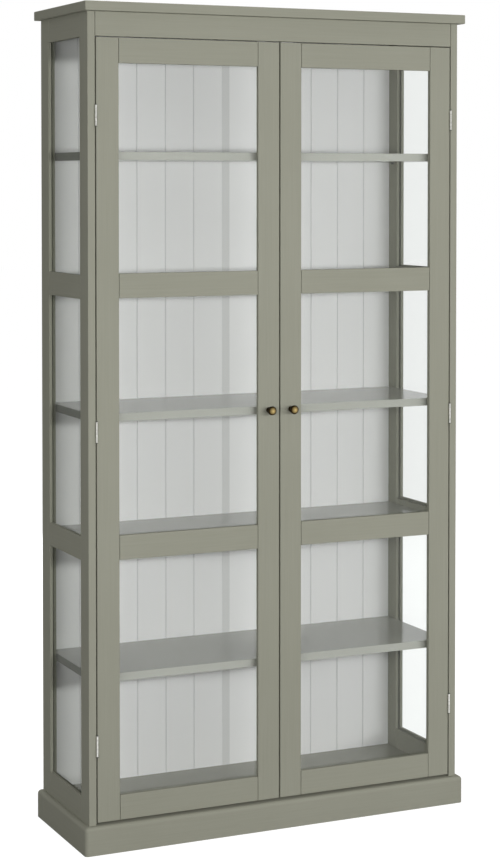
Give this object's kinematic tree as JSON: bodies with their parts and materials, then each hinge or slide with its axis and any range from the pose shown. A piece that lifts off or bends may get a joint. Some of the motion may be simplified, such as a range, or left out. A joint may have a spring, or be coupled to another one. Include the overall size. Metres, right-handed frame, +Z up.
{
  "type": "glazed cabinet",
  "caption": "Tall free-standing glazed cabinet: framed glass sides, a pair of hinged framed glass doors with knobs, fixed and loose shelves, a grooved back and a skirting.",
  "frame": {"origin": "centre of the whole box at floor level, under the middle of the cabinet", "axes": "+Z up, +X to the right of someone facing the doors, +Y from the doors towards the back"},
  "size_m": [1, 0.365, 1.96],
  "materials": {
    "grey_green_paint": "satin grey-green paint on solid wood and board",
    "white_back_paint": "matt cool white paint on grooved board",
    "clear_glass": "clear float glass",
    "nickel_hinge": "bright nickel-plated steel",
    "antique_brass": "aged brass, dark in the hollows and rubbed bright on the crown",
    "zinc_steel": "zinc-plated steel",
    "white_plastic": "white moulded plastic",
    "bare_beech": "bare beech"
  },
  "bodies": {
    "cabinet": {"back_bottom_rail": "grey_green_paint", "back_joining_strip": "white_back_paint", "bottom_board": "grey_green_paint", "cabinet_screws": "zinc_steel", "carcass_dowels": "bare_beech", "frame_hinge_leaves": "nickel_hinge", "front_bottom_rail": "grey_green_paint", "front_skirting": "grey_green_paint", "header_rail": "grey_green_paint", "high_loose_shelf": "grey_green_paint", "hinge_pins": "nickel_hinge", "left_back_panel": "white_back_paint", "left_back_post": "grey_green_paint", "left_front_post": "grey_green_paint", "left_side_bottom_rail": "grey_green_paint", "left_side_lower_rail": "grey_green_paint", "left_side_top_rail": "grey_green_paint", "left_side_upper_rail": "grey_green_paint", "left_skirting": "grey_green_paint", "low_loose_shelf": "grey_green_paint", "lower_fixed_shelf": "grey_green_paint", "magnetic_catches": "white_plastic", "middle_loose_shelf": "grey_green_paint", "right_back_panel": "white_back_paint", "right_back_post": "grey_green_paint", "right_front_post": "grey_green_paint", "right_side_bottom_rail": "grey_green_paint", "right_side_lower_rail": "grey_green_paint", "right_side_top_rail": "grey_green_paint", "right_side_upper_rail": "grey_green_paint", "right_skirting": "grey_green_paint", "shelf_pins": "zinc_steel", "side_glazing_beads": "grey_green_paint", "side_panes": "clear_glass", "top_board": "grey_green_paint", "upper_fixed_shelf": "grey_green_paint"},
    "left_door": {"left_door_bottom_rail": "grey_green_paint", "left_door_glazing_beads": "grey_green_paint", "left_door_hinge_leaves": "nickel_hinge", "left_door_hinge_stile": "grey_green_paint", "left_door_keeper_plate": "zinc_steel", "left_door_knob": "antique_brass", "left_door_lower_rail": "grey_green_paint", "left_door_meeting_stile": "grey_green_paint", "left_door_panes": "clear_glass", "left_door_screws": "zinc_steel", "left_door_top_rail": "grey_green_paint", "left_door_upper_rail": "grey_green_paint"},
    "right_door": {"right_door_bottom_rail": "grey_green_paint", "right_door_glazing_beads": "grey_green_paint", "right_door_hinge_leaves": "nickel_hinge", "right_door_hinge_stile": "grey_green_paint", "right_door_keeper_plate": "zinc_steel", "right_door_knob": "antique_brass", "right_door_lower_rail": "grey_green_paint", "right_door_meeting_stile": "grey_green_paint", "right_door_panes": "clear_glass", "right_door_screws": "zinc_steel", "right_door_top_rail": "grey_green_paint", "right_door_upper_rail": "grey_green_paint"}
  },
  "joints": [
    {"name": "left_door_hinge", "type": "hinge", "parent": "cabinet", "child": "left_door", "pos_m": [-0.4665, -0.1594, 0.9755], "axis": [0, 0, -1], "range_deg": [0, 175]},
    {"name": "right_door_hinge", "type": "hinge", "parent": "cabinet", "child": "right_door", "pos_m": [0.4665, -0.1594, 0.9755], "axis": [0, 0, 1], "range_deg": [0, 175]}
  ]
}
